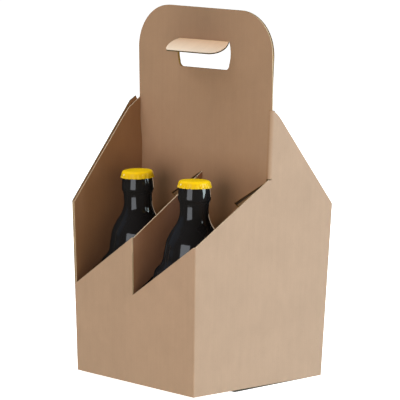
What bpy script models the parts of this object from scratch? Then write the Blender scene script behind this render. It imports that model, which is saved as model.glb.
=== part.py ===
"""Four-bottle carrier folded from one die-cut blank of plain kraft board, with its bottles.

The front runs along X and faces -Y, the handle stands across the middle, and Z is up.
The origin is the bottom centre, on the surface that the carrier stands on. The back and the
left side are the front and the right side again, carried half a turn about Z, apart from the
tops of the two tall sides and the handle's small turn.
"""

import math

import bmesh
import bpy

# Board
BOARD = 0.00125
FOLD_RADIUS = 0.0016
FOLD_STEPS = 4
OVERLAP = 0.0004
GAP = 0.0003

# Walls: their size at the foot, and how much wider they stand for each metre of height
FOOT = 0.0012
BASE_WIDTH = 0.1502
BASE_DEPTH = 0.1523
FLARE_WIDTH = 0.0557
FLARE_DEPTH = 0.0626
WALL_TOP = 0.250

# Heights of the slanted cut edges, and the top and the slope of each tall side
CELL_LOW = 0.0781
CELL_HIGH = 0.1276
FOLD_LOW = 0.1791
DIVIDER_TOP = 0.1786
TALL_CORNER = 0.1518
TALL_RIGHT = (0.2398, 1.157)
TALL_LEFT = (0.2376, 1.255)
TALL_ROUND = 0.0040

# Handle: two layers back to back, turned a little about Z
HANDLE_HALF = 0.0815
HANDLE_TOP = 0.3202
HANDLE_CORNER = 0.0380
HANDLE_TURN = math.radians(1.8)
HANDLE_SHIFT = -0.0006
CORNER_STEPS = 12

# Hand hole and the flap that was cut from it
HOLE_TOP = 0.2926
HOLE_HEIGHT = 0.0248
HOLE_HALF_TOP = 0.0296
HOLE_HALF_MIDDLE = 0.0332
HOLE_HALF_BOTTOM = 0.0305
HOLE_CORNER = 0.0045
HOLE_SIDE_STEPS = 8
HOLE_CORNER_STEPS = 4
FLAP_LENGTH = 0.0220
FLAP_CORNER = 0.0060
FLAP_GAP = 0.0004
FLAP_OPEN = math.radians(65.0)

# Bottom flaps, seen from below: the right one, which a half turn makes the left one
BOTTOM_START = 0.0480
BOTTOM_TAPER = 0.0095
BOTTOM_REACH = 0.0140
BOTTOM_SLANT = 0.0120

# Cutters: how far they stand out past the walls, past the handle's ends and off its faces
PAST_WALLS = 0.160
PAST_ENDS = 0.120
OFF_FACES = 0.010
BELOW_TEETH = 0.030

# Bottles and caps: where each bottle stands, how far it leans about X and Y, and its cap's tilt
BOTTLE_SPOTS = {
    "front_left": (-0.0364, -0.0350, 1.4, -1.3, 2.0),
    "front_right": (0.0334, -0.0398, 0.0, 0.0, 0.0),
    "back_right": (0.0385, 0.0392, -0.4, 0.0, 0.0),
    "back_left": (-0.0335, 0.0396, 0.0, 0.0, 0.0),
}
BOTTLE_RADIUS = 0.0343
BOTTLE_SEGMENTS = 32
BOTTLE_BASE_ROUND = 0.0050

# The bottle's outline above its straight side, as radius and height above its base
SHOULDER = (
    (0.0343, 0.0866), (0.0325, 0.0956), (0.0288, 0.0999), (0.0262, 0.1041), (0.0253, 0.1096),
    (0.0243, 0.1148), (0.0229, 0.1217), (0.0189, 0.1298), (0.0148, 0.1361), (0.0126, 0.1426),
)
NECK = ((0.0125, 0.1533), (0.0130, 0.1542), (0.0129, 0.1552))
RING = ((0.0135, 0.1558), (0.0138, 0.1581), (0.0138, 0.1638), (0.0134, 0.1663))
LIP = ((0.0130, 0.1666), (0.0130, 0.1706), (0.0120, 0.1719))

# Crown caps, and the rings of their outer side: share of the radius, drop from the top, flute
CAP_FOOT = 0.1669
CAP_RADIUS = 0.01430
CAP_FLUTE = 0.00045
CAP_FLUTES = 21
CAP_HEIGHT = 0.0061
CAP_WALL = 0.0006
CAP_RINGS = ((0.80, 0.0, 0.0), (0.91, 0.0007, 0.2), (0.96, 0.0021, 0.6), (1.0, CAP_HEIGHT, 1.0))

FLOOR_TOP = FOOT + 2 * BOARD


def half_width(z):
    """Half the outer width of the walls at a height."""
    return (BASE_WIDTH + FLARE_WIDTH * (z - FOOT)) / 2


def half_depth(z):
    """Half the outer depth of the walls at a height."""
    return (BASE_DEPTH + FLARE_DEPTH * (z - FOOT)) / 2


def half_turn(point):
    """A point carried half a turn about Z."""
    return (-point[0], -point[1], point[2])


def as_is(point):
    return point


def handle_point(s, y, z):
    """A point of the handle: s runs along it to the right, y goes to the back from its front face."""
    along = s + HANDLE_SHIFT
    return (
        along * math.cos(HANDLE_TURN) - y * math.sin(HANDLE_TURN),
        along * math.sin(HANDLE_TURN) + y * math.cos(HANDLE_TURN),
        z,
    )


def make_material(name, colour, roughness, metallic=0.0):
    material = bpy.data.materials.new(name)
    material.use_nodes = True
    shader = material.node_tree.nodes["Principled BSDF"]
    shader.inputs["Base Color"].default_value = (*colour, 1.0)
    shader.inputs["Roughness"].default_value = roughness
    shader.inputs["Metallic"].default_value = metallic
    return material


def finish_object(name, bm):
    """Turn a bmesh into a named object whose faces all point out."""
    bmesh.ops.remove_doubles(bm, verts=bm.verts, dist=1e-7)
    bmesh.ops.recalc_face_normals(bm, faces=bm.faces)
    mesh = bpy.data.meshes.new(name)
    bm.to_mesh(mesh)
    bm.free()
    obj = bpy.data.objects.new(name, mesh)
    bpy.context.scene.collection.objects.link(obj)
    return obj


def slab(name, outline, near, far, place=as_is):
    """A closed board: one outline drawn on two faces, joined by its cut edge."""
    bm = bmesh.new()
    sides = [[bm.verts.new(place(face(a, b))) for a, b in outline] for face in (near, far)]
    bm.faces.new(sides[0])
    bm.faces.new(list(reversed(sides[1])))
    for i in range(len(outline)):
        j = (i + 1) % len(outline)
        bm.faces.new((sides[0][j], sides[0][i], sides[1][i], sides[1][j]))
    return finish_object(name, bm)


def corner_arc(cx, cy, radius, start, steps):
    """Points of a quarter circle, anticlockwise from an angle."""
    angles = [start + math.pi / 2 * i / steps for i in range(steps + 1)]
    return [(cx + radius * math.cos(a), cy + radius * math.sin(a)) for a in angles]


def wall_loop(z, inset):
    """The rounded rectangle of the walls at a height, inset from their outer face."""
    x = half_width(z) - FOLD_RADIUS
    y = half_depth(z) - FOLD_RADIUS
    radius = FOLD_RADIUS - inset
    corners = ((x, y, 0), (-x, y, 1), (-x, -y, 2), (x, -y, 3))
    loop = []
    for cx, cy, quarter in corners:
        loop += corner_arc(cx, cy, radius, quarter * math.pi / 2, FOLD_STEPS)
    return [(px, py, z) for px, py in loop]


def wall_ring():
    """The four walls as one closed band, before its slanted edges are cut."""
    bm = bmesh.new()
    loops = []
    for z, inset in ((FOOT, 0), (WALL_TOP, 0), (WALL_TOP, BOARD), (FOOT, BOARD)):
        loops.append([bm.verts.new(p) for p in wall_loop(z, inset)])
    for i, lower in enumerate(loops):
        upper = loops[(i + 1) % len(loops)]
        for j in range(len(lower)):
            k = (j + 1) % len(lower)
            bm.faces.new((lower[j], lower[k], upper[k], upper[j]))
    return finish_object("carrier", bm)


def inner_layer(name, fold_y, place):
    """The glued layer inside a tall side: the handle's panel folded on along that side."""
    corner_y = half_depth(CELL_LOW) - OVERLAP
    outline = (
        (corner_y, CELL_LOW),
        (half_depth(WALL_TOP) - OVERLAP, WALL_TOP),
        (fold_y, WALL_TOP),
        (fold_y, CELL_HIGH),
    )
    outer = lambda y, z: (half_width(z) - BOARD + OVERLAP / 4, y, z)
    inner = lambda y, z: (half_width(z) - 2 * BOARD, y, z)
    return slab(name, outline, outer, inner, place)


def cell_cutter(name, place):
    """Cuts the front's two slanted mouths, with the upright step between them."""
    slope = (CELL_HIGH - CELL_LOW) / (half_width(CELL_LOW) - BOARD)
    outline = (
        (-half_width(CELL_LOW) + BOARD, CELL_LOW),
        (0.0, CELL_HIGH),
        (0.0, CELL_LOW),
        (PAST_ENDS, CELL_LOW + slope * PAST_ENDS),
        (PAST_ENDS, 2 * WALL_TOP),
        (-half_width(2 * WALL_TOP) + BOARD, 2 * WALL_TOP),
    )
    outer = lambda x, z: (x, -PAST_WALLS, z)
    inner = lambda x, z: (x, -half_depth(z) + BOARD + OVERLAP, z)
    return slab(name, outline, outer, inner, place)


def side_cutter(name, fold_y, tall, place):
    """Cuts the right side: low in front of the handle's fold and tall behind it."""
    top, slope = tall
    low_slope = (FOLD_LOW - CELL_HIGH) / (half_depth(CELL_HIGH) + fold_y)
    corner_y = half_depth(TALL_CORNER)
    bend = corner_y - (top - TALL_CORNER) / slope
    outline = (
        (-PAST_ENDS, CELL_HIGH - low_slope * (PAST_ENDS - half_depth(CELL_HIGH))),
        (fold_y, FOLD_LOW),
        (fold_y, top),
        (max(bend - TALL_ROUND, fold_y + OVERLAP), top),
        (bend, top - slope * TALL_ROUND / 4),
        (bend + TALL_ROUND, top - slope * TALL_ROUND),
        (PAST_ENDS, top - slope * (PAST_ENDS - bend)),
        (PAST_ENDS, 2 * WALL_TOP),
        (-PAST_ENDS, 2 * WALL_TOP),
    )
    outer = lambda y, z: (PAST_WALLS, y, z)
    inner = lambda y, z: (half_width(z) - 2 * BOARD - OVERLAP, y, z)
    return slab(name, outline, outer, inner, place)


def handle_board(name):
    """Both handle panels, glued back to back, from between the walls up to the round corners."""
    between = [(half_width(z) - BOARD / 2, z) for z in (CELL_HIGH - BOARD, FOLD_LOW)]
    centre = (HANDLE_HALF - HANDLE_CORNER, HANDLE_TOP - HANDLE_CORNER)
    corner = corner_arc(*centre, HANDLE_CORNER, 0, CORNER_STEPS)
    right = [(s - HANDLE_SHIFT, z) for s, z in between] + corner
    left = [(-s - HANDLE_SHIFT, z) for s, z in between] + [(-s, z) for s, z in corner]
    front = lambda s, z: handle_point(s, 0.0, z)
    back = lambda s, z: handle_point(s, 2 * BOARD, z)
    return slab(name, right + left[::-1], front, back)


def tooth_cutter(name, front):
    """Cuts one handle panel's lower edge: the saw-toothed cut that leaves a divider's strip."""
    slope = (FOLD_LOW - CELL_HIGH) / (HANDLE_HALF + BOARD)
    below = CELL_HIGH - BELOW_TEETH
    outline = (
        (-PAST_ENDS, DIVIDER_TOP - slope * (PAST_ENDS - BOARD)),
        (-BOARD, DIVIDER_TOP),
        (-BOARD, CELL_HIGH),
        (PAST_ENDS, CELL_HIGH + slope * (PAST_ENDS + BOARD)),
        (PAST_ENDS, below),
        (-PAST_ENDS, below),
    )
    if front:
        near = lambda s, z: handle_point(s, -OFF_FACES, z)
        far = lambda s, z: handle_point(s, BOARD + OVERLAP / 40, z)
    else:
        near = lambda s, z: handle_point(-s, BOARD - OVERLAP / 40, z)
        far = lambda s, z: handle_point(-s, OFF_FACES, z)
    return slab(name, outline, near, far)


def hole_half(depth):
    """Half the hand hole's width at a depth below its top: one arc through three widths."""
    t = depth / HOLE_HEIGHT
    bow = HOLE_HALF_MIDDLE - (HOLE_HALF_TOP + HOLE_HALF_BOTTOM) / 2
    return HOLE_HALF_TOP + (HOLE_HALF_BOTTOM - HOLE_HALF_TOP) * t + bow * (1 - (2 * t - 1) ** 2)


def hole_outline(start, end, corner, inset):
    """Half widths and depths of the hole's shape between two depths, with rounded lower corners."""
    right = []
    for i in range(HOLE_SIDE_STEPS):
        depth = start + (end - corner - start) * i / (HOLE_SIDE_STEPS - 1)
        right.append((hole_half(depth) - inset, depth))
    widest = hole_half(end - corner) - inset
    for i in range(1, HOLE_CORNER_STEPS + 1):
        angle = math.pi / 2 * i / HOLE_CORNER_STEPS
        right.append((widest - corner * (1 - math.cos(angle)), end - corner * (1 - math.sin(angle))))
    left = [(-s, depth) for s, depth in reversed(right)]
    return right + left


def hole_cutter(name):
    outline = hole_outline(0.0, HOLE_HEIGHT, HOLE_CORNER, 0.0)
    near = lambda s, depth: handle_point(s, -OFF_FACES, HOLE_TOP - depth)
    far = lambda s, depth: handle_point(s, OFF_FACES, HOLE_TOP - depth)
    return slab(name, outline, near, far)


def divider(name, back_y, place):
    """The slanted strip that ties the front's middle to the handle, between two cells."""
    front_low = -half_depth(CELL_LOW) + BOARD / 2
    front_high = -half_depth(CELL_HIGH) + BOARD / 2
    outline = (
        (front_low, CELL_LOW),
        (back_y, CELL_HIGH),
        (back_y, DIVIDER_TOP),
        (front_high, CELL_HIGH - BOARD),
    )
    right = lambda y, z: (-OVERLAP / 4, y, z)
    left = lambda y, z: (-BOARD, y, z)
    return slab(name, outline, right, left, place)


def floor_board(name):
    """Two layers of folded bottom flaps, from wall to wall."""
    x = half_width(FOOT) - BOARD / 2
    y = half_depth(FOOT) - BOARD / 2
    outline = ((-x, -y), (x, -y), (x, y), (-x, y))
    return slab(name, outline, lambda a, b: (a, b, FOOT + OVERLAP / 4), lambda a, b: (a, b, FLOOR_TOP))


def bottom_flap(name, place):
    """The outermost bottom flap, a board lower than the walls, narrowing to the back."""
    x = half_width(FOOT) - OVERLAP / 2
    y = half_depth(FOOT)
    outline = (
        (x, -y + BOTTOM_START),
        (x - BOTTOM_TAPER, y - BOTTOM_SLANT),
        (-BOTTOM_REACH + BOTTOM_SLANT, y - BOTTOM_SLANT),
        (-BOTTOM_REACH, -BOTTOM_REACH),
        (BOTTOM_REACH, -y + BOTTOM_START),
    )
    return slab(name, outline, lambda a, b: (a, b, 0.0), lambda a, b: (a, b, BOARD), place)


def combine(base, others, operation):
    """Apply one Boolean of a whole collection to a piece, then remove the collection."""
    group = bpy.data.collections.new(operation)
    bpy.context.scene.collection.children.link(group)
    for obj in others:
        group.objects.link(obj)
        bpy.context.scene.collection.objects.unlink(obj)
    modifier = base.modifiers.new(operation, "BOOLEAN")
    modifier.operation = operation
    modifier.operand_type = "COLLECTION"
    modifier.collection = group
    modifier.solver = "EXACT"
    bpy.context.view_layer.update()
    shaped = base.evaluated_get(bpy.context.evaluated_depsgraph_get())
    mesh = bpy.data.meshes.new_from_object(shaped)
    base.modifiers.clear()
    base.data = mesh
    for obj in others:
        bpy.data.objects.remove(obj, do_unlink=True)
    bpy.data.collections.remove(group)


def build_carrier(board):
    """The carrier: walls, glued layers, handle, dividers and floor, one folded and glued blank."""
    turn = HANDLE_HALF * math.sin(HANDLE_TURN)
    right_fold = turn
    left_fold = turn - 2 * BOARD
    carrier = wall_ring()
    inner_layers = [
        inner_layer("layer_right", right_fold + BOARD * 1.5, as_is),
        inner_layer("layer_left", left_fold + BOARD * 1.5, half_turn),
    ]
    combine(carrier, inner_layers, "UNION")
    cutters = [
        cell_cutter("cut_front", as_is),
        cell_cutter("cut_back", half_turn),
        side_cutter("cut_right", right_fold, TALL_RIGHT, as_is),
        side_cutter("cut_left", left_fold, TALL_LEFT, half_turn),
    ]
    combine(carrier, cutters, "DIFFERENCE")
    handle = handle_board("handle")
    openings = [
        tooth_cutter("teeth_front", True),
        tooth_cutter("teeth_back", False),
        hole_cutter("hand_hole"),
    ]
    combine(handle, openings, "DIFFERENCE")
    boards = [
        handle,
        divider("divider_front", BOARD / 2, as_is),
        divider("divider_back", -BOARD * 1.5, half_turn),
        floor_board("floor"),
        bottom_flap("flap_right", as_is),
        bottom_flap("flap_left", half_turn),
    ]
    combine(carrier, boards, "UNION")
    carrier.data.materials.clear()
    carrier.data.materials.append(board)
    carrier.data.name = "carrier"
    return carrier


def build_flap(board):
    """The hand hole's flap, folded out to the front. Its origin is on the crease at the hole's top."""
    outline = hole_outline(FLAP_GAP, FLAP_LENGTH, FLAP_CORNER, FLAP_GAP)
    front = lambda s, depth: (s, 0.0, -depth)
    back = lambda s, depth: (s, BOARD, -depth)
    flap = slab("handle_flap", outline, front, back)
    flap.data.materials.append(board)
    flap.location = handle_point(0.0, 0.0, HOLE_TOP)
    flap.rotation_euler = (-FLAP_OPEN, 0.0, HANDLE_TURN)
    return flap


def smooth_curve(points, steps):
    """Points along a Catmull-Rom curve through a few given ones."""
    curve = []
    ends = [points[0]] + list(points) + [points[-1]]
    for p0, p1, p2, p3 in zip(ends, ends[1:], ends[2:], ends[3:]):
        for i in range(steps):
            t = i / steps
            curve.append(
                tuple(
                    0.5 * (2 * b + (c - a) * t + (2 * a - 5 * b + 4 * c - d) * t**2
                           + (3 * b - a - 3 * c + d) * t**3)
                    for a, b, c, d in zip(p0, p1, p2, p3)
                )
            )
    return curve + [points[-1]]


def bottle_profile():
    """Half outline of the bottle, bottom to top, as radius and height above its base."""
    flat = BOTTLE_RADIUS - BOTTLE_BASE_ROUND
    base = corner_arc(flat, BOTTLE_BASE_ROUND, BOTTLE_BASE_ROUND, -math.pi / 2, 3)
    return base + smooth_curve(SHOULDER, 2) + list(NECK + RING + LIP)


def turned(name, profile, segments):
    """A solid of revolution about Z, closed at both ends on the axis."""
    bm = bmesh.new()
    low = bm.verts.new((0.0, 0.0, profile[0][1]))
    high = bm.verts.new((0.0, 0.0, profile[-1][1]))
    chain = [low] + [bm.verts.new((r, 0.0, z)) for r, z in profile] + [high]
    edges = [bm.edges.new(pair) for pair in zip(chain, chain[1:])]
    bmesh.ops.spin(bm, geom=chain + edges, axis=(0, 0, 1), cent=(0, 0, 0), angle=2 * math.pi,
                   steps=segments, use_merge=True)
    bmesh.ops.remove_doubles(bm, verts=bm.verts, dist=1e-6)
    return finish_object(name, bm)


def fluted_loop(bm, radius, z, flute):
    """One ring of the cap's skirt, its radius rising and falling at each flute."""
    count = 2 * CAP_FLUTES
    loop = []
    for i in range(count):
        angle = 2 * math.pi * i / count
        r = radius + (flute if i % 2 else -flute)
        loop.append(bm.verts.new((r * math.cos(angle), r * math.sin(angle), z)))
    return loop


def cap_shape(name):
    """A crown cap: a domed top, a fluted skirt and a hollow for the bottle's lip."""
    inner = CAP_RADIUS - CAP_FLUTE - CAP_WALL / 2
    rings = [(CAP_RADIUS * r, CAP_HEIGHT - drop, CAP_FLUTE * flute) for r, drop, flute in CAP_RINGS]
    rings += [(inner, 0.0, 0.0), (inner, CAP_HEIGHT - CAP_WALL, 0.0)]
    bm = bmesh.new()
    loops = [fluted_loop(bm, *ring) for ring in rings]
    for upper, lower in zip(loops, loops[1:]):
        for i in range(len(upper)):
            j = (i + 1) % len(upper)
            bm.faces.new((upper[i], upper[j], lower[j], lower[i]))
    for loop, z in ((loops[0], CAP_HEIGHT), (loops[-1], CAP_HEIGHT - CAP_WALL)):
        centre = bm.verts.new((0.0, 0.0, z))
        for i in range(len(loop)):
            bm.faces.new((loop[i], loop[(i + 1) % len(loop)], centre))
    return finish_object(name, bm)


def shade_round(mesh, degrees):
    mesh.shade_smooth()
    mesh.set_sharp_from_angle(angle=math.radians(degrees))


def build_bottles(glass, paint):
    """The four capped bottles, each standing on the floor of its cell."""
    first_bottle = None
    first_cap = None
    for spot, (x, y, lean_x, lean_y, tilt) in BOTTLE_SPOTS.items():
        if first_bottle is None:
            bottle = first_bottle = turned(f"bottle_{spot}", bottle_profile(), BOTTLE_SEGMENTS)
            cap = first_cap = cap_shape(f"cap_{spot}")
            bottle.data.materials.append(glass)
            cap.data.materials.append(paint)
            shade_round(bottle.data, 35)
            shade_round(cap.data, 50)
        else:
            bottle = bpy.data.objects.new(f"bottle_{spot}", first_bottle.data)
            cap = bpy.data.objects.new(f"cap_{spot}", first_cap.data)
            bpy.context.scene.collection.objects.link(bottle)
            bpy.context.scene.collection.objects.link(cap)
        lift = BOTTLE_RADIUS * math.radians(math.hypot(lean_x, lean_y))
        bottle.location = (x, y, FLOOR_TOP + GAP + lift)
        bottle.rotation_euler = (math.radians(lean_x), math.radians(lean_y), 0.0)
        cap.parent = bottle
        cap.location = (0.0, 0.0, CAP_FOOT + CAP_RADIUS * math.radians(tilt))
        tilt_each_way = math.radians(tilt) / math.sqrt(2)
        cap.rotation_euler = (tilt_each_way, tilt_each_way, 0.0)


def main():
    for obj in list(bpy.data.objects):
        bpy.data.objects.remove(obj, do_unlink=True)
    board = make_material("kraft_board", (0.46, 0.31, 0.19), 0.85)
    glass = make_material("bottle_glass", (0.012, 0.010, 0.010), 0.08)
    paint = make_material("cap_paint", (0.87, 0.56, 0.02), 0.30)
    build_carrier(board)
    build_flap(board)
    build_bottles(glass, paint)


main()
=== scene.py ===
import math

import bmesh
import bpy
from mathutils import Matrix, Vector


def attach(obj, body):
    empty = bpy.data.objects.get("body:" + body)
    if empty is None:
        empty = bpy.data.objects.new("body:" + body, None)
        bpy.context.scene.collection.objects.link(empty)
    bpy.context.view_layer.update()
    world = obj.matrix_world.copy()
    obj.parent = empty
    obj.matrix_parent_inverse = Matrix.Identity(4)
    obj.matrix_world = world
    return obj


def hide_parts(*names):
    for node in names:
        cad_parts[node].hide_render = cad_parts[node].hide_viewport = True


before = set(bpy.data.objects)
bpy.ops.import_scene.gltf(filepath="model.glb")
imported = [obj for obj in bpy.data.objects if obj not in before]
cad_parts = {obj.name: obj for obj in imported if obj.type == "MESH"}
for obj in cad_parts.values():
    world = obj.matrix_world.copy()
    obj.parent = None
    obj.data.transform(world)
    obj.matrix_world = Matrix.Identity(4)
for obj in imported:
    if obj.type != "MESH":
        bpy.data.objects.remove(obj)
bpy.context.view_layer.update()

# Board, in metres: its thickness, its folds, and the flutes between its two liners
BOARD = 0.00125
FOLD_RADIUS = 0.0016
FOLD_STEPS = 8
FLUTE_PITCH = 0.0024
EDGE_SOFTNESS = 0.00015
LINER_SHARE = 0.1

# Angles in degrees: a cut edge's least, a fold's most in the handle's paper, and the most that looks smooth
CUT_EDGE = 40.0
FOLD_FRONT = 22.0
SMOOTH_BOARD = 20.0
SMOOTH_FOLD = 50.0
SMOOTH_BOTTLE = 60.0
SMOOTH_CAP = 70.0

# Fitting: the gap between glued boards, and between pieces that only stand together
LAYER_GAP = 0.00006
GAP = 0.0003

# Inner layer of a tall side: its stand-off at the handle, its bow before that, and its upper bend
LAYER_STANDOFF = 0.0022
LAYER_BOW = 0.0012
LAYER_THICKNESS = 0.0011
LAYER_BEND = 0.0170
LAYER_DROP = 0.0010
LAYER_STEPS = 16

# Shares of the way in to the handle and of the way up, between which the inner layer's bow changes
TIGHT_INWARD = (0.78, 0.98)
TIGHT_UP = (0.62, 0.80)
STANDOFF_INWARD = (0.70, 0.98)
BOW_UP = 0.65

# Heights above the ground: the floor boards' underside, the walls' foot and the bottles' floor
FOOT = 0.0012
WALL_FOOT = 0.0017
FLOOR_TOP = FOOT + 2 * BOARD

# Walls: their size at the foot, and how much wider they stand for each metre of height
BASE_WIDTH = 0.1502
BASE_DEPTH = 0.1523
FLARE_WIDTH = 0.0557
FLARE_DEPTH = 0.0626
WALL_TOP = 0.250

# Heights of the slanted cut edges, and how much lower a side's low one ends at the handle's fold
CELL_LOW = 0.0781
CELL_HIGH = 0.1276
FOLD_LOW = 0.1791
LOW_EDGE_DROP = 0.0006
DIVIDER_TOP = 0.1786

# Tall sides: the top, the slope and the corner height of each
TALL_RIGHT = (0.2372, 1.157, 0.1518)
TALL_LEFT = (0.2384, 1.255, 0.1497)

# Upper corner of each tall side, from the handle to its slant: distance to the back, and height
CROWN_RIGHT = (
    (0.0000, 0.2372), (0.0040, 0.2370), (0.0065, 0.2358), (0.0090, 0.2340), (0.0114, 0.2319),
    (0.0143, 0.2288), (0.0170, 0.2257),
)
CROWN_LEFT = (
    (0.0000, 0.2350), (0.0052, 0.2353), (0.0066, 0.2386), (0.0097, 0.2367), (0.0130, 0.2348),
)

# Handle: two panels back to back, turned a little about Z, whose right corner sags
HANDLE_HALF = 0.0815
HANDLE_TOP = 0.3202
HANDLE_CORNER = 0.0380
HANDLE_SAG = 0.013
HANDLE_TURN = math.radians(1.8)
HANDLE_SHIFT = -0.0006
CORNER_STEPS = 20

# Round folds between handle and tall sides: radius, lap over both, and how proud of them they stand
HANDLE_FOLD = 0.0032
FOLD_LAP = 0.0012
FOLD_PROUD = 0.00008

# Slits under the handle's panels: where each ends, the right one's lift, the panel's drop past there
SLIT_LEFT = 0.0372
SLIT_RIGHT = 0.0400
SLIT_LIFT = 0.0028
SLIT_DROP = 0.0120

# Hand hole: its top, its height, its half widths, its lower corners, and the back one's raised edge
HOLE_TOP = 0.2921
HOLE_HEIGHT = 0.0243
HOLE_HALF_TOP = 0.0304
HOLE_HALF_MIDDLE = 0.0322
HOLE_HALF_BOTTOM = 0.0288
HOLE_CORNER = 0.0045
BACK_HOLE_RAISE = 0.0009
HOLE_SIDE_STEPS = 14
HOLE_CORNER_STEPS = 8

# Flap that was cut from the hand hole: its size, its rounded corners, its curl and how far it is open
FLAP_LENGTH = 0.0220
FLAP_CORNER = 0.0070
FLAP_CORNER_TALL = 0.0155
FLAP_GAP = 0.0004
FLAP_ROOT = 0.0004
FLAP_BULGE = 0.0006
FLAP_TWIST = 0.0014
FLAP_COLUMNS = 8
FLAP_OPEN = math.radians(65.0)

# Bottom flaps, seen from below: the right one, which a half turn makes the left one
BOTTOM_START = 0.0480
BOTTOM_TAPER = 0.0050
BOTTOM_REACH = 0.0140
BOTTOM_SLANT = 0.0120

# Cutters: how far they stand out past the walls, past the handle's ends and off its faces
PAST_WALLS = 0.160
PAST_ENDS = 0.120
OFF_FACES = 0.010
BELOW_TEETH = 0.030

# Bottles and caps: where each bottle stands, how far it leans about X and Y, and its cap's tilt
BOTTLE_SPOTS = {
    "front_left": (-0.0364, -0.0350, 1.4, -1.3, 2.0),
    "front_right": (0.0334, -0.0398, 0.0, 0.0, 0.0),
    "back_right": (0.0385, 0.0392, -0.4, 0.0, 0.0),
    "back_left": (-0.0335, 0.0396, 0.0, 0.0, 0.0),
}

# Bottle: its straight side, its rounded base with the punt under it, and the steps of its outline
BOTTLE_RADIUS = 0.0343
BOTTLE_SEGMENTS = 96
BOTTLE_BASE_ROUND = 0.0050
PUNT_RADIUS = 0.0250
PUNT_DEPTH = 0.0025
PUNT_STEPS = 8
BASE_STEPS = 6
SIDE_STEPS = 6
SHOULDER_STEPS = 5
RING_STEPS = 3

# The bottle's outline above its straight side, as radius and height above its base
SHOULDER = (
    (0.0343, 0.0866), (0.0325, 0.0956), (0.0288, 0.0999), (0.0262, 0.1041), (0.0253, 0.1096),
    (0.0243, 0.1148), (0.0229, 0.1217), (0.0189, 0.1298), (0.0148, 0.1361), (0.0126, 0.1426),
    (0.0123, 0.1490), (0.0125, 0.1533),
)
RING = (
    (0.0125, 0.1533), (0.0129, 0.1542), (0.0131, 0.1551), (0.0137, 0.1561), (0.0139, 0.1578),
    (0.01385, 0.1602), (0.0136, 0.1632), (0.0132, 0.1660),
)
LIP = ((0.0130, 0.1666), (0.0130, 0.1706), (0.0120, 0.1719))

# Crown caps: their seat on a bottle, their thin wall, and their flutes, deepest at the foot
CAP_FOOT = 0.1669
CAP_RADIUS = 0.01430
CAP_HEIGHT = 0.0061
CAP_WALL = 0.0004
CAP_FLUTES = 21
CAP_COLUMNS = 12
CAP_FLUTE = 0.00038
CAP_FLUTE_START = 0.0012
CAP_FLUTE_POWER = 1.3
CAP_FLUTE_ROUND = 0.75

# The cap's outer side from its top to its foot, as radius and distance below its top
CAP_SIDE = (
    (0.00480, 0.00000), (0.00850, 0.00003), (0.01050, 0.00012), (0.01170, 0.00032), (0.01250, 0.00060),
    (0.01300, 0.00095), (0.01335, 0.00145), (0.01357, 0.00210), (0.01375, 0.00290), (0.01392, 0.00370),
    (0.01409, 0.00450), (0.01425, 0.00530), (0.01440, 0.00610),
)

# The cap's hollow: the radius from where it follows the outer side, its inset, and its ceiling's edge
HOLLOW_FROM = 0.0127
HOLLOW_INSET = CAP_WALL * 1.4
CEILING_RADIUS = 0.0112
CEILING_DROP = 0.0006

# Studio: the boards that the dark glass mirrors, the floor, and the room above and below the horizon
MIRRORED = ("walls", "hand_flap")
FLOOR_SIZE = 30.0
WHITE = (1.0, 1.0, 1.0, 1.0)
ROOM_ABOVE = (0.03, 0.03, 0.03, 1.0)
ROOM_BELOW = (0.747, 0.858, 0.740, 1.0)

# Where the lights aim, how far off they are, and how much nearer those are that only shine
LIT_CENTRE = (0.0, 0.0, 0.15)
LIGHT_DISTANCE = 3.0
SHINE_NEARER = 0.1

# Lights: azimuth and elevation in degrees, size, brightness as red, green and blue, only a shine
LIGHTS = (
    ("softbox_front", 13.0, 4.0, (2.57, 1.95), (3.49, 2.87, 2.48), False),
    ("key_right", 121.0, 10.0, (1.60, 2.20), (7.52, 8.73, 9.93), False),
    ("top_left", -60.0, 65.0, (2.40, 2.40), (4.25, 4.51, 4.67), False),
    ("fill_right", 75.0, 0.0, (2.00, 2.00), (1.69, 1.30, 0.80), False),
    ("shine_front", 13.0, 4.0, (2.00, 1.80), (3.5, 3.7, 4.0), True),
    ("shine_right", 121.0, 10.0, (1.20, 1.90), (10.0, 12.0, 12.4), True),
    ("shine_left", -62.0, 22.0, (2.40, 2.00), (0.05, 0.08, 0.13), True),
    ("shine_back", 207.0, 9.0, (0.80, 1.60), (1.20, 0.88, 0.62), True),
)

# Camera, as the photograph's perspective gives it
CAMERA_AT = (1.50383, -1.40066, 0.41960)
CAMERA_AZIMUTH = math.radians(47.08)
CAMERA_ELEVATION = math.radians(7.38)
CAMERA_ROLL = math.radians(0.92)
CAMERA_LENS = 215.45
CAMERA_SENSOR = 36.0
CAMERA_CLIP = (0.05, 50.0)


def make_camera():
    """The scene's camera, turned to its azimuth and elevation and rolled a little."""
    back = Vector((
        math.sin(CAMERA_AZIMUTH) * math.cos(CAMERA_ELEVATION),
        -math.cos(CAMERA_AZIMUTH) * math.cos(CAMERA_ELEVATION),
        math.sin(CAMERA_ELEVATION),
    ))
    level = Vector((math.cos(CAMERA_AZIMUTH), math.sin(CAMERA_AZIMUTH), 0.0))
    upright = back.cross(level)
    right = math.cos(CAMERA_ROLL) * level + math.sin(CAMERA_ROLL) * upright
    up = -math.sin(CAMERA_ROLL) * level + math.cos(CAMERA_ROLL) * upright
    data = bpy.data.cameras.new("camera")
    data.lens = CAMERA_LENS
    data.sensor_width = CAMERA_SENSOR
    data.clip_start, data.clip_end = CAMERA_CLIP
    camera = bpy.data.objects.new("camera", data)
    bpy.context.scene.collection.objects.link(camera)
    turn = Matrix((right, up, back)).transposed().to_4x4()
    camera.matrix_world = Matrix.Translation(CAMERA_AT) @ turn
    bpy.context.scene.camera = camera


make_camera()


# Nodes

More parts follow.
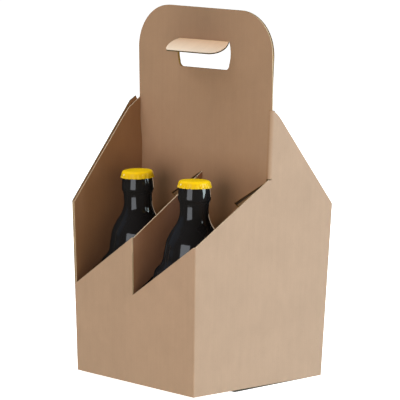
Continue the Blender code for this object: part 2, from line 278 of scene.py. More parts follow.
def add(tree, kind, inputs=(), **settings):
    """A shader node with its settings, and its inputs set to values or joined to other nodes."""
    node = tree.nodes.new(kind)
    for key, value in settings.items():
        setattr(node, key, value)
    for key, value in dict(inputs).items():
        if isinstance(value, bpy.types.NodeSocket):
            tree.links.new(value, node.inputs[key])
        else:
            node.inputs[key].default_value = value
    return node


def math_node(tree, operation, a, b=0.0, c=0.0):
    """The result of one operation on up to three values."""
    return add(tree, "ShaderNodeMath", {0: a, 1: b, 2: c}, operation=operation).outputs[0]


def spread(tree, value, low, high, start=0.3, end=0.7):
    """A value spread over a range, which goes from low at the start to high at the end."""
    node = add(tree, "ShaderNodeMapRange", {0: value, 1: start, 2: end, 3: low, 4: high})
    return node.outputs[0]


def noise(tree, vector, scale, detail=2.0, roughness=0.5, distortion=0.0):
    """A noise value for every place."""
    inputs = {"Vector": vector, "Scale": scale, "Detail": detail, "Roughness": roughness,
              "Distortion": distortion}
    return add(tree, "ShaderNodeTexNoise", inputs).outputs["Fac"]


def object_place(tree):
    """Where a point of the surface is, in metres on the object's own axes."""
    return add(tree, "ShaderNodeTexCoord").outputs["Object"]


def stretched(tree, vector, scale):
    """Coordinates multiplied by a factor along each axis."""
    return add(tree, "ShaderNodeVectorMath", {0: vector, 1: scale}, operation="MULTIPLY").outputs[0]


def tinted(tree, colour, factor):
    """A colour made lighter or darker by a factor."""
    node = add(tree, "ShaderNodeVectorMath", {0: colour, "Scale": factor}, operation="SCALE")
    return node.outputs[0]


def blend(tree, share, first, second):
    """A colour that goes from the first to the second as the share goes from 0 to 1."""
    return add(tree, "ShaderNodeMix", {0: share, 6: first, 7: second}, data_type="RGBA").outputs[2]


def add_relief(tree, shader, height, strength, distance):
    """Give a shader relief that is too fine for the mesh."""
    bump = add(tree, "ShaderNodeBump", {"Height": height, "Strength": strength, "Distance": distance})
    tree.links.new(bump.outputs[0], shader.inputs["Normal"])


def new_material(name):
    """A material, with its node tree and its shader."""
    material = bpy.data.materials.new(name)
    material.use_nodes = True
    tree = material.node_tree
    return material, tree, tree.nodes["Principled BSDF"]


def flute_wave(tree, place):
    """The sine of the flutes, which run upright: it turns with the distance along a wall."""
    parts = add(tree, "ShaderNodeSeparateXYZ", {0: place})
    along = math_node(tree, "ADD", parts.outputs[0], parts.outputs[1])
    return math_node(tree, "SINE", math_node(tree, "MULTIPLY", along, 2 * math.pi / FLUTE_PITCH))


# Materials

def paper_fibres(tree, place):
    """The fine upright fibres of kraft paper."""
    return noise(tree, stretched(tree, place, (1.0, 1.0, 0.45)), 1500.0, 4.0, 0.7, 1.4)


def paper_flecks(tree, place):
    """Scattered flecks, a few of them pale: how strong they are, and how they change the tone."""
    cells = add(tree, "ShaderNodeTexVoronoi", {"Vector": place, "Scale": 420.0, "Randomness": 1.0})
    rare = add(tree, "ShaderNodeSeparateColor", {0: cells.outputs["Color"]})
    is_fleck = math_node(tree, "GREATER_THAN", rare.outputs[0], 0.80)
    is_pale = math_node(tree, "GREATER_THAN", rare.outputs[1], 0.62)
    near_middle = spread(tree, cells.outputs["Distance"], 1.0, 0.0, 0.0, 0.22)
    strength = math_node(tree, "MULTIPLY", near_middle, is_fleck)
    return strength, math_node(tree, "MULTIPLY_ADD", is_pale, 0.20, -0.15)


def kraft_liner(name, colour, painted_shading=None, shade_point=None):
    """Unbleached kraft paper: cloudy and fibrous, with flecks and faint upright flute lines.

    A second colour, given with the two heights between which the paper turns to it, is painted shade or
    painted light. A point can be given round which the paper is painted darker, as painted shade.
    """
    material, tree, shader = new_material(name)
    place = object_place(tree)
    clouds = noise(tree, place, 28.0, 3.0, 0.55)
    blotches = noise(tree, stretched(tree, place, (1.0, 1.0, 0.6)), 120.0, 4.0, 0.6)
    streaks = noise(tree, stretched(tree, place, (260.0, 260.0, 9.0)), 1.0, 3.0, 0.6)
    fibres = paper_fibres(tree, place)
    wave = flute_wave(tree, place)
    tone = spread(tree, clouds, 0.965, 1.035)
    for value, low, high in ((blotches, 0.975, 1.025), (streaks, 0.982, 1.018), (fibres, 0.955, 1.045)):
        tone = math_node(tree, "MULTIPLY", tone, spread(tree, value, low, high))
    tone = math_node(tree, "MULTIPLY_ADD", wave, 0.006, tone)
    tone = math_node(tree, "MULTIPLY_ADD", *paper_flecks(tree, place), tone)
    # painted shade: the paper darkens round the given point, fading out within about 50 mm
    if shade_point:
        off_shade_point = add(tree, "ShaderNodeVectorMath", {0: place, 1: shade_point}, operation="DISTANCE")
        shaded_round_point = spread(tree, off_shade_point.outputs["Value"], 0.76, 1.0, 0.008, 0.050)
        tone = math_node(tree, "MULTIPLY", tone, shaded_round_point)
    # painted shade or painted light: the paper turns to a second colour between two heights
    if painted_shading:
        second, start, end = painted_shading
        height = add(tree, "ShaderNodeSeparateXYZ", {0: place}).outputs[2]
        colour = blend(tree, spread(tree, height, 0.0, 1.0, start, end), (*colour, 1.0), (*second, 1.0))
    tree.links.new(tinted(tree, colour, tone), shader.inputs["Base Color"])
    tree.links.new(spread(tree, fibres, 0.72, 0.88), shader.inputs["Roughness"])
    relief = math_node(tree, "MULTIPLY_ADD", wave, 0.10, fibres)
    relief = math_node(tree, "MULTIPLY_ADD", clouds, 1.5, relief)
    add_relief(tree, shader, relief, 0.35, 0.00004)
    shader.inputs["Specular IOR Level"].default_value = 0.30
    return material


def kraft_between_shaded(name, colour):
    """The back handle panel's paper, which shows in the front panel's slits: painted shade, darker all over
    and darkest just under the front panel's cut.
    """
    material, tree, shader = new_material(name)
    place = object_place(tree)
    parts = add(tree, "ShaderNodeSeparateXYZ", {0: place})
    slope = (FOLD_LOW - CELL_HIGH) / (HANDLE_HALF + BOARD)
    level = math_node(tree, "MULTIPLY_ADD", parts.outputs[0], -slope, parts.outputs[2])
    on_right = math_node(tree, "GREATER_THAN", parts.outputs[0], 0.0)
    cut_level = spread(tree, on_right, DIVIDER_TOP + slope * BOARD, CELL_HIGH + slope * BOARD, 0.0, 1.0)
    below = math_node(tree, "SUBTRACT", cut_level, level)
    tone = spread(tree, noise(tree, place, 300.0, 4.0, 0.6), 0.90, 1.10)
    # painted shade: darkest just under the front panel's cut, fading within about a millimetre
    tone = math_node(tree, "MULTIPLY", tone, spread(tree, below, 0.22, 1.0, 0.0003, 0.0011))
    tree.links.new(tinted(tree, colour, tone), shader.inputs["Base Color"])
    add_relief(tree, shader, paper_fibres(tree, place), 0.35, 0.00004)
    shader.inputs["Roughness"].default_value = 0.85
    shader.inputs["Specular IOR Level"].default_value = 0.2
    return material


def kraft_rim(name, colour, pocket_shade):
    """A cut edge: two liners with the wavy flute between them, and painted shade in the pockets beside the
    wave.
    """
    material, tree, shader = new_material(name)
    place = object_place(tree)
    across = add(tree, "ShaderNodeAttribute", attribute_name="across").outputs["Fac"]
    middle = math_node(tree, "MULTIPLY_ADD", flute_wave(tree, place), 0.30, 0.5)
    off_wave = math_node(tree, "ABSOLUTE", math_node(tree, "SUBTRACT", across, middle))
    off_centre = math_node(tree, "ABSOLUTE", math_node(tree, "SUBTRACT", across, 0.5))
    on_wave = spread(tree, off_wave, 0.85, 0.0, 0.07, 0.14)
    on_liner = spread(tree, off_centre, 0.0, 1.0, 0.30, 0.38)
    paper = math_node(tree, "MAXIMUM", on_wave, on_liner)
    fray = noise(tree, place, 2200.0, 3.0, 0.7)
    # painted shade: the pockets beside the flute wave are darkened
    painted_pocket_shade = spread(tree, paper, pocket_shade, 1.0, 0.0, 1.0)
    tone = math_node(tree, "MULTIPLY", spread(tree, fray, 0.86, 1.12), painted_pocket_shade)
    tree.links.new(tinted(tree, colour, tone), shader.inputs["Base Color"])
    add_relief(tree, shader, math_node(tree, "MULTIPLY_ADD", fray, 0.25, paper), 0.5, 0.0001)
    shader.inputs["Roughness"].default_value = 0.90
    shader.inputs["Specular IOR Level"].default_value = 0.2
    return material


def dark_glass(name):
    """Glass so dark with its drink that it looks black, with the faint ripple of moulded glass."""
    material, tree, shader = new_material(name)
    place = object_place(tree)
    ripple = noise(tree, stretched(tree, place, (1.0, 1.0, 0.5)), 90.0)
    pits = noise(tree, place, 700.0, roughness=0.6)
    smear = noise(tree, place, 60.0, 4.0, 0.6)
    add_relief(tree, shader, math_node(tree, "MULTIPLY_ADD", pits, 0.04, ripple), 0.30, 0.0006)
    tree.links.new(spread(tree, smear, 0.06, 0.12), shader.inputs["Roughness"])
    depth = spread(tree, noise(tree, place, 30.0), 0.8, 1.2)
    tree.links.new(tinted(tree, (0.0118, 0.0114, 0.0122), depth), shader.inputs["Base Color"])
    shader.inputs["IOR"].default_value = 1.52
    shader.inputs["Specular IOR Level"].default_value = 0.36
    return material


def cap_lacquer(name):
    """Golden yellow lacquer on tinplate: a little uneven, scuffed on the flutes, with painted light on top,
    painted shade down the skirt and painted glints.
    """
    material, tree, shader = new_material(name)
    place = object_place(tree)
    height = add(tree, "ShaderNodeSeparateXYZ", {0: place}).outputs[2]
    on_skirt = spread(tree, height, 1.0, 0.0, 0.0030, 0.0042)
    cloud = noise(tree, place, 160.0, 3.0)
    # painted light and shade: lighter on the top, darker down the skirt
    painted_top_light = spread(tree, height, 0.88, 1.13, 0.0035, 0.0058)
    unevenness_and_painted_light = math_node(tree, "MULTIPLY", spread(tree, cloud, 0.97, 1.03), painted_top_light)
    scuffs = noise(tree, place, 900.0, roughness=0.6)
    scuffed = math_node(tree, "MULTIPLY", spread(tree, scuffs, 0.0, 1.0, 0.68, 0.74), on_skirt)
    # painted glints: pale specks on the skirt stand in for highlights
    glint_noise = noise(tree, stretched(tree, place, (1.0, 1.0, 0.7)), 620.0, 1.0, 0.4)
    painted_glints = math_node(tree, "MULTIPLY", spread(tree, glint_noise, 0.0, 0.75, 0.70, 0.75), on_skirt)
    yellow = tinted(tree, (0.79, 0.505, 0.005), unevenness_and_painted_light)
    colour = blend(tree, scuffed, yellow, (0.36, 0.18, 0.02, 1.0))
    colour = blend(tree, painted_glints, colour, (0.85, 0.78, 0.50, 1.0))
    tree.links.new(colour, shader.inputs["Base Color"])
    tree.links.new(spread(tree, cloud, 0.30, 0.40), shader.inputs["Roughness"])
    shader.inputs["Specular IOR Level"].default_value = 0.10
    add_relief(tree, shader, noise(tree, place, 300.0), 0.10, 0.00004)
    return material


def tin_inside(name):
    """The bare tinplate and liner under a cap."""
    material, tree, shader = new_material(name)
    tone = spread(tree, noise(tree, object_place(tree), 400.0, 3.0), 0.85, 1.1)
    tree.links.new(tinted(tree, (0.42, 0.42, 0.40), tone), shader.inputs["Base Color"])
    shader.inputs["Metallic"].default_value = 0.8
    shader.inputs["Roughness"].default_value = 0.35
    return material


HANDLE_PAPER = (0.313, 0.195, 0.1245)
OUTER_LINER = kraft_liner("kraft_outer", (0.384, 0.258, 0.181))
INNER_LINER = kraft_liner("kraft_inner", (0.286, 0.144, 0.085))
# Darker, less blue copies of the inner liner for the faces inside the cells: inner liner with painted shade
LAYER_SHADE_LINER = kraft_liner("kraft_layer_shade", (0.260, 0.131, 0.066))
CELL_SHADE_LINER = kraft_liner("kraft_cell_shade", (0.250, 0.120, 0.054))
# Back handle panel's paper with painted shade, seen through the slits
SHADED_BETWEEN_LINER = kraft_between_shaded("kraft_between_shaded", (0.250, 0.155, 0.076))
# Handle paper with painted shade: darker low down towards the cells, and round a point just above the hand
# hole and the flap's crease
HANDLE_LINER = kraft_liner(
    "kraft_handle",
    HANDLE_PAPER,
    painted_shading=((0.215, 0.105, 0.042), 0.200, 0.135),
    shade_point=(0.0, 0.0, HOLE_TOP + 0.010),
)
# The flap's upper face: a lit copy of the handle paper with painted light and sheen, lighter still towards
# its free edge as painted sheen
FLAP_LIT_LINER = kraft_liner(
    "kraft_flap",
    (0.617, 0.408, 0.260),
    painted_shading=((0.820, 0.690, 0.550), 0.0, -FLAP_LENGTH),
)
FLAP_BACK = kraft_liner("kraft_flap_back", HANDLE_PAPER)
CRUSHED = kraft_liner("kraft_crushed", (0.270, 0.185, 0.110))
RIM = kraft_rim("kraft_rim", (0.700, 0.540, 0.380), 0.60)
SHADED_RIM = kraft_rim("kraft_rim_shaded", (0.155, 0.118, 0.056), 0.30)
# Painted shade: a dark rim for the handle panels' slits and cut edges, where the gap stands in shade
SLIT_SHADE_RIM = kraft_rim("kraft_rim_slit_shade", (0.250, 0.130, 0.022), 0.30)
# Painted shadow: a near-black rim for the bottom flaps, in the carrier's contact shadow
FOOT_SHADOW_RIM = kraft_rim("kraft_rim_foot_shadow", (0.060, 0.053, 0.040), 0.60)
GLASS = dark_glass("dark_glass")
LACQUER = cap_lacquer("cap_lacquer")
TIN = tin_inside("tin_inside")


# Places on the walls and the handle

def half_width(z):
    """Half the outer width of the walls at a height."""
    return (BASE_WIDTH + FLARE_WIDTH * (z - FOOT)) / 2


def half_depth(z):
    """Half the outer depth of the walls at a height."""
    return (BASE_DEPTH + FLARE_DEPTH * (z - FOOT)) / 2


def half_turn(point):
    """A point carried half a turn about Z."""
    return (-point[0], -point[1], point[2])


def as_is(point):
    """A point left where it is."""
    return point


def handle_point(s, y, z):
    """A point of the handle: s runs along it to the right, y goes to the back from its front face."""
    along = s + HANDLE_SHIFT
    sag = HANDLE_SAG * max(s + HOLE_HALF_MIDDLE, 0.0) * max(z - HOLE_TOP, 0.0) / (HANDLE_TOP - HOLE_TOP)
    return (
        along * math.cos(HANDLE_TURN) - y * math.sin(HANDLE_TURN),
        along * math.sin(HANDLE_TURN) + y * math.cos(HANDLE_TURN),
        z - sag,
    )


def handle_depth(point):
    """How far a point lies behind the handle's front face."""
    return point[1] * math.cos(HANDLE_TURN) - point[0] * math.sin(HANDLE_TURN)


# Meshes

def finish_object(name, bm):
    """Turn a bmesh into a named object whose faces all point out."""
    bmesh.ops.remove_doubles(bm, verts=bm.verts, dist=1e-7)
    bmesh.ops.recalc_face_normals(bm, faces=bm.faces)
    mesh = bpy.data.meshes.new(name)
    bm.to_mesh(mesh)
    bm.free()
    obj = bpy.data.objects.new(name, mesh)
    bpy.context.scene.collection.objects.link(obj)
    return obj


def slab(name, outline, near, far, place=as_is):
    """A closed board: one outline drawn on two faces, joined by its cut edge."""
    bm = bmesh.new()
    sides = [[bm.verts.new(place(face(a, b))) for a, b in outline] for face in (near, far)]
    bm.faces.new(sides[0])
    bm.faces.new(list(reversed(sides[1])))
    for i in range(len(outline)):
        j = (i + 1) % len(outline)
        bm.faces.new((sides[0][j], sides[0][i], sides[1][i], sides[1][j]))
    return finish_object(name, bm)


def curved_slab(name, columns, near, far, place):
    """A closed board that isn't flat: a grid of points drawn on two faces, joined by its cut edge."""
    bm = bmesh.new()
    borders = []
    for face in (near, far):
        grid = [[bm.verts.new(place(face(a, b))) for a, b in column] for column in columns]
        for left, right in zip(grid, grid[1:]):
            for i in range(len(left) - 1):
                bm.faces.new((left[i], right[i], right[i + 1], left[i + 1]))
        upper = [column[-1] for column in grid[1:-1]]
        lower = [column[0] for column in grid[1:-1]]
        borders.append(grid[0] + upper + grid[-1][::-1] + lower[::-1])
    for i in range(len(borders[0])):
        j = (i + 1) % len(borders[0])
        bm.faces.new((borders[0][j], borders[0][i], borders[1][i], borders[1][j]))
    return finish_object(name, bm)


def corner_arc(cx, cy, radius, start, steps):
    """Points of a quarter circle, anticlockwise from an angle."""
    angles = [start + math.pi / 2 * i / steps for i in range(steps + 1)]
    return [(cx + radius * math.cos(a), cy + radius * math.sin(a)) for a in angles]


# Walls, and the inner layers of the tall sides

def wall_loop(z, inset):
    """The rounded rectangle of the walls at a height, inset from their outer face."""
    x = half_width(z) - FOLD_RADIUS
    y = half_depth(z) - FOLD_RADIUS
    loop = []
    for cx, cy, quarter in ((x, y, 0), (-x, y, 1), (-x, -y, 2), (x, -y, 3)):
        loop += corner_arc(cx, cy, FOLD_RADIUS - inset, quarter * math.pi / 2, FOLD_STEPS)
    return [(px, py, z) for px, py in loop]


def wall_depth(point):
    """How far a point lies inside the walls' outer face, round their corners too."""
    x = abs(point[0]) - half_width(point[2]) + FOLD_RADIUS
    y = abs(point[1]) - half_depth(point[2]) + FOLD_RADIUS
    return FOLD_RADIUS - math.hypot(max(x, 0.0), max(y, 0.0)) - min(max(x, y), 0.0)


def wall_ring(name):
    """The four walls as one closed band, before its slanted edges are cut."""
    bm = bmesh.new()
    loops = []
    for z, inset in ((WALL_FOOT, 0), (WALL_TOP, 0), (WALL_TOP, BOARD), (WALL_FOOT, BOARD)):
        loops.append([bm.verts.new(p) for p in wall_loop(z, inset)])
    for i, lower in enumerate(loops):
        upper = loops[(i + 1) % len(loops)]
        for j in range(len(lower)):
            k = (j + 1) % len(lower)
            bm.faces.new((lower[j], lower[k], upper[k], upper[j]))
    return finish_object(name, bm)


def eased(value, start, end):
    """Nought before the start, one after the end, and a smooth rise between."""
    t = min(max((value - start) / (end - start), 0.0), 1.0)
    return t * t * (3 - 2 * t)


def standoff(y, z):
    """How far a tall side's inner layer stands off the wall: it bows in, and is tight at its top."""
    up = (z - CELL_HIGH) / (TALL_LEFT[0] - CELL_HIGH)
    inward = min(max(1.0 - y / half_depth(z), 0.0), 1.0)
    tight = eased(inward, *TIGHT_INWARD) * eased(up, *TIGHT_UP)
    bow = LAYER_BOW * inward + (LAYER_STANDOFF - LAYER_BOW) * eased(inward, *STANDOFF_INWARD)
    return LAYER_GAP + bow * min(max(up / BOW_UP, 0.0), 1.0) * (1 - tight)


def layer_point(y, z, depth):
    """A point of a tall side's inner layer, as deep in it as given."""
    return (half_width(z) - BOARD - standoff(y, z) - depth, y, z)


def inner_layer(name, fold_y, tall, place):
    """The glued layer inside a tall side: the handle's panel folded on along that side."""
    top, slope, corner = tall
    front = lambda z: half_depth(z) - BOARD - LAYER_GAP
    bend = (LAYER_BEND, corner + slope * (half_depth(corner) - LAYER_BEND) - LAYER_DROP)
    low_ends = ((front(CELL_LOW), CELL_LOW), (fold_y, CELL_HIGH))
    slant_ends = ((front(corner), corner), bend)
    last_ends = (bend, (fold_y, top - GAP))
    share = (front(corner) - LAYER_BEND) / (front(corner) - fold_y)
    columns = []
    for i in range(LAYER_STEPS + 1):
        t = i / LAYER_STEPS
        low = Vector(low_ends[0]).lerp(Vector(low_ends[1]), t)
        if t < share:
            high = Vector(slant_ends[0]).lerp(Vector(slant_ends[1]), t / share)
        else:
            high = Vector(last_ends[0]).lerp(Vector(last_ends[1]), (t - share) / (1 - share))
        columns.append([low.lerp(high, j / LAYER_STEPS) for j in range(LAYER_STEPS + 1)])
    outer = lambda y, z: layer_point(y, z, 0.0)
    inner = lambda y, z: layer_point(y, z, LAYER_THICKNESS)
    return curved_slab(name, columns, outer, inner, place)


def cell_cutter(name, place):
    """Cuts the front's two slanted mouths, with the upright step between them."""
    slope = (CELL_HIGH - CELL_LOW) / (half_width(CELL_LOW) - BOARD)
    outline = (
        (-half_width(CELL_LOW) + BOARD, CELL_LOW),
        (0.0, CELL_HIGH),
        (0.0, CELL_LOW),
        (PAST_ENDS, CELL_LOW + slope * PAST_ENDS),
        (PAST_ENDS, 2 * WALL_TOP),
        (-half_width(2 * WALL_TOP) + BOARD, 2 * WALL_TOP),
    )
    outer = lambda x, z: (x, -PAST_WALLS, z)
    inner = lambda x, z: (x, -half_depth(z) + BOARD + GAP, z)
    return slab(name, outline, outer, inner, place)


def crown_height(crown, y):
    """The height of a tall side's top at a distance to the back."""
    for (y0, z0), (y1, z1) in zip(crown, crown[1:]):
        if y < y1:
            return z0 + (z1 - z0) * max(y - y0, 0.0) / (y1 - y0)
    return crown[-1][1]


def side_cutter(name, fold_y, tall, crown, place):
    """Cuts the right side: low in front of the handle's fold and tall behind it."""
    slope, corner = tall[1:]
    low_slope = (FOLD_LOW - CELL_HIGH) / (half_depth(CELL_HIGH) + fold_y)
    outline = [
        (-PAST_ENDS, CELL_HIGH - low_slope * (PAST_ENDS - half_depth(CELL_HIGH))),
        (fold_y, FOLD_LOW - LOW_EDGE_DROP),
        (fold_y + HANDLE_FOLD, FOLD_LOW - LOW_EDGE_DROP),
        (fold_y + HANDLE_FOLD, crown[0][1]),
    ]
    outline += crown[1:]
    outline += [
        (PAST_ENDS, corner - slope * (PAST_ENDS - half_depth(corner))),
        (PAST_ENDS, 2 * WALL_TOP),
        (-PAST_ENDS, 2 * WALL_TOP),
    ]
    outer = lambda y, z: (PAST_WALLS, y, z)
    inner = lambda y, z: (half_width(z) - 2 * BOARD - GAP, y, z)
    return slab(name, outline, outer, inner, place)


# Handle, with its hand hole

def handle_fold(name, fold_y, crown, place):
    """The round fold that turns a handle panel into its tall side, lapping a little over both."""
    lap = FOLD_LAP + HANDLE_FOLD
    outline = [(-lap, 0.0)]
    outline += corner_arc(-HANDLE_FOLD, HANDLE_FOLD, HANDLE_FOLD, -math.pi / 2, FOLD_STEPS)
    outline += [(0.0, lap), (-BOARD / 2, lap)]
    outline += corner_arc(-HANDLE_FOLD, HANDLE_FOLD, HANDLE_FOLD - BOARD, -math.pi / 2, FOLD_STEPS)[::-1]
    outline += [(-lap, BOARD / 2)]
    low = lambda x, y: (half_width(FOLD_LOW) + x + FOLD_PROUD, fold_y + y - FOLD_PROUD, FOLD_LOW)
    top = lambda y: crown_height(crown, fold_y + y)
    high = lambda x, y: (half_width(top(y)) + x + FOLD_PROUD, fold_y + y - FOLD_PROUD, top(y))
    return slab(name, outline, low, high, place)


def handle_panel(name, near, far, way, tall):
    """One handle panel, from between the walls up to the round corners. One side ends at its fold."""
    between = [(half_width(z) - BOARD - 2 * GAP, z) for z in (CELL_HIGH - SLIT_DROP, FOLD_LOW)]
    folded = between[:1]
    for z in (FOLD_LOW, tall[0]):
        folded.append((half_width(z) - HANDLE_FOLD, z))
    folded.append((HANDLE_HALF, tall[0]))
    centre = (HANDLE_HALF - HANDLE_CORNER, HANDLE_TOP - HANDLE_CORNER)
    corner = corner_arc(*centre, HANDLE_CORNER, 0, CORNER_STEPS)
    sides = [folded, between] if way > 0 else [between, folded]
    right = [(s - HANDLE_SHIFT, z) for s, z in sides[0]] + corner
    left = [(-s - HANDLE_SHIFT, z) for s, z in sides[1]] + [(-s, z) for s, z in corner]
    front = lambda s, z: handle_point(s, near, z)
    back = lambda s, z: handle_point(s, far, z)
    return slab(name, right + left[::-1], front, back)


def tooth_cutter(name, way):
    """Cuts a handle panel's lower edge: the saw-toothed cut that leaves a divider's strip.

    It leaves a slit open on the left from the middle halfway out, and on the right from the side
    halfway in. Past a slit's end the panel goes on lower.
    """
    slope = (FOLD_LOW - CELL_HIGH) / (HANDLE_HALF + BOARD)
    below = CELL_HIGH - BELOW_TEETH
    left = lambda s: DIVIDER_TOP + slope * (s + BOARD)
    right = lambda s: CELL_HIGH + slope * (s + BOARD) + SLIT_LIFT * (1.0 - s / HANDLE_HALF)
    step = SLIT_DROP / slope / 2
    outline = (
        (-PAST_ENDS, left(-PAST_ENDS) - SLIT_DROP),
        (-SLIT_LEFT + step, left(-SLIT_LEFT) - slope * step),
        (-SLIT_LEFT, left(-SLIT_LEFT)),
        (-BOARD, DIVIDER_TOP),
        (-BOARD, CELL_HIGH - SLIT_DROP),
        (SLIT_RIGHT + step, right(SLIT_RIGHT) - slope * step),
        (SLIT_RIGHT, right(SLIT_RIGHT)),
        (PAST_ENDS, right(PAST_ENDS)),
        (PAST_ENDS, below),
        (-PAST_ENDS, below),
    )
    near = lambda s, z: handle_point(way * s, -OFF_FACES, z)
    far = lambda s, z: handle_point(way * s, OFF_FACES, z)
    return slab(name, outline, near, far)


def hole_half(depth):
    """Half the hand hole's width at a depth below its top: one arc through three widths."""
    t = depth / HOLE_HEIGHT
    bow = HOLE_HALF_MIDDLE - (HOLE_HALF_TOP + HOLE_HALF_BOTTOM) / 2
    return HOLE_HALF_TOP + (HOLE_HALF_BOTTOM - HOLE_HALF_TOP) * t + bow * (1 - (2 * t - 1) ** 2)


def hole_outline(start, end, corner, tall, inset):
    """Half widths and depths of the hole's shape between two depths, with rounded lower corners."""
    right = []
    for i in range(HOLE_SIDE_STEPS):
        depth = start + (end - tall - start) * i / (HOLE_SIDE_STEPS - 1)
        right.append((hole_half(depth) - inset, depth))
    widest = hole_half(end - tall) - inset
    for i in range(1, HOLE_CORNER_STEPS + 1):
        angle = math.pi / 2 * i / HOLE_CORNER_STEPS
        right.append((widest - corner * (1 - math.cos(angle)), end - tall * (1 - math.sin(angle))))
    left = [(-s, depth) for s, depth in reversed(right)]
    return right + left


def hole_cutter(name, raised):
    """Cuts the hand hole, for the back panel a little higher so that the flap swings clear."""
    outline = hole_outline(-raised, HOLE_HEIGHT, HOLE_CORNER, HOLE_CORNER, 0.0)
    near = lambda s, depth: handle_point(s, -OFF_FACES, HOLE_TOP - depth)
    far = lambda s, depth: handle_point(s, OFF_FACES, HOLE_TOP - depth)
    return slab(name, outline, near, far)


# Dividers and bottom

def divider(name, back_y, place):
    """The slanted strip that ties the front's middle to the handle, between two cells."""
    front_low = -half_depth(CELL_LOW) + BOARD
    front_high = -half_depth(CELL_HIGH) + BOARD
    outline = (
        (front_low, CELL_LOW),
        (back_y, CELL_HIGH),
        (back_y, DIVIDER_TOP),
        (front_high, CELL_HIGH - BOARD),
    )
    right = lambda y, z: (0.0, y, z)
    left = lambda y, z: (-BOARD, y, z)
    return slab(name, outline, right, left, place)


def floor_board(name):
    """The folded bottom flaps inside the lowest pair, from wall to wall."""
    x = half_width(FOOT) - BOARD
    y = half_depth(FOOT) - BOARD
    outline = ((-x, -y), (x, -y), (x, y), (-x, y))
    under = lambda x, y: (x, y, FOOT + LAYER_GAP)
    upper = lambda x, y: (x, y, FLOOR_TOP)
    return slab(name, outline, under, upper)


def bottom_flap(name, place):
    """The lowest bottom flap, a board lower than the walls, narrowing to the back."""
    x = half_width(FOOT) - GAP
    y = half_depth(FOOT)
    outline = (
        (x, -y + BOTTOM_START),
        (x - BOTTOM_TAPER, y - BOTTOM_SLANT),
        (-BOTTOM_REACH + BOTTOM_SLANT, y - BOTTOM_SLANT),
        (-BOTTOM_REACH, -BOTTOM_REACH),
        (BOTTOM_REACH, -y + BOTTOM_START),
    )
    under = lambda x, y: (x, y, 0.0)
    upper = lambda x, y: (x, y, WALL_FOOT - LAYER_GAP)
    return slab(name, outline, under, upper, place)


# Cutting and dressing

def smooth(mesh, degrees):
    """Shade a mesh smooth, apart from edges that turn by more than an angle."""
    mesh.shade_smooth()
    mesh.set_sharp_from_angle(angle=math.radians(degrees))


def apply_modifiers(obj):
    """Replace an object's mesh by what its modifiers make of it."""
    bpy.context.view_layer.update()
    shaped = obj.evaluated_get(bpy.context.evaluated_depsgraph_get())
    mesh = bpy.data.meshes.new_from_object(shaped)
    obj.modifiers.clear()
    obj.data = mesh


def cut(board, cutters):
    """Take the cutters out of a board, and remove them."""
    group = bpy.data.collections.new("cutters")
    bpy.context.scene.collection.children.link(group)
    for cutter in cutters:
        group.objects.link(cutter)
        bpy.context.scene.collection.objects.unlink(cutter)
    modifier = board.modifiers.new("cut", "BOOLEAN")
    modifier.operation = "DIFFERENCE"
    modifier.operand_type = "COLLECTION"
    modifier.collection = group
    modifier.solver = "EXACT"
    apply_modifiers(board)
    for cutter in cutters:
        bpy.data.objects.remove(cutter, do_unlink=True)
    bpy.data.collections.remove(group)


def dress(board, depth, near, far, rim=None, shaded=SHADED_RIM, body="pack"):
    """Give a board its two liners, its fluted rim and crushed edges. Depth is 0 to 1 through it.

    Rim tells whether a cut edge is pale, or else shaded. Without it all of them are pale. A board
    with a shaded rim of its own has that on its crushed edges too.
    """
    mesh = board.data
    mesh.materials.clear()
    crushed = CRUSHED if shaded is SHADED_RIM else shaded
    for material in (near, far, RIM, shaded, crushed):
        mesh.materials.append(material)
    depths = [depth(v.co) for v in mesh.vertices]
    across = mesh.attributes.new("across", "FLOAT", "POINT")
    across.data.foreach_set("value", depths)
    for face in mesh.polygons:
        found = [depths[i] for i in face.vertices]
        if max(found) < LINER_SHARE:
            face.material_index = 0
        elif min(found) > 1 - LINER_SHARE:
            face.material_index = 1
        else:
            face.material_index = 2 if rim is None or rim(face) else 3
    modifier = board.modifiers.new("edges", "BEVEL")
    modifier.width = EDGE_SOFTNESS
    modifier.segments = 2
    modifier.limit_method = "ANGLE"
    modifier.angle_limit = math.radians(CUT_EDGE)
    modifier.use_clamp_overlap = True
    modifier.material = 4
    apply_modifiers(board)
    board.data.name = board.name
    smooth(board.data, SMOOTH_BOARD)
    board.visible_glossy = board.name in MIRRORED
    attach(board, body)


def dress_fold(strip):
    """Give a handle fold its liners: the handle's where it faces as the handle does, and the walls'."""
    for material in (HANDLE_LINER, OUTER_LINER):
        strip.data.materials.append(material)
    least = math.cos(math.radians(FOLD_FRONT))
    for face in strip.data.polygons:
        face.material_index = 0 if abs(face.normal.y) > least else 1
    smooth(strip.data, SMOOTH_FOLD)
    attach(strip, "pack")


def never(face):
    """No cut edge of the board is a pale one."""
    return False


def low_side(face):
    """Whether a wall's cut edge is a pale one: the low slanted edges and all upright ones."""
    at = face.center
    tall = at.x * at.y > 0 and abs(at.x) > half_width(at.z) - 2 * BOARD
    upright = abs(face.normal.z) < 0.3
    return upright or not tall


def handle_outline(face):
    """Whether a handle panel's edge is on its outline above the tall sides."""
    at = face.center
    return at.z > TALL_RIGHT[0] and (abs(at.x) > HOLE_HALF_MIDDLE + BOARD or at.z > HOLE_TOP + BOARD)


# Carrier and flap

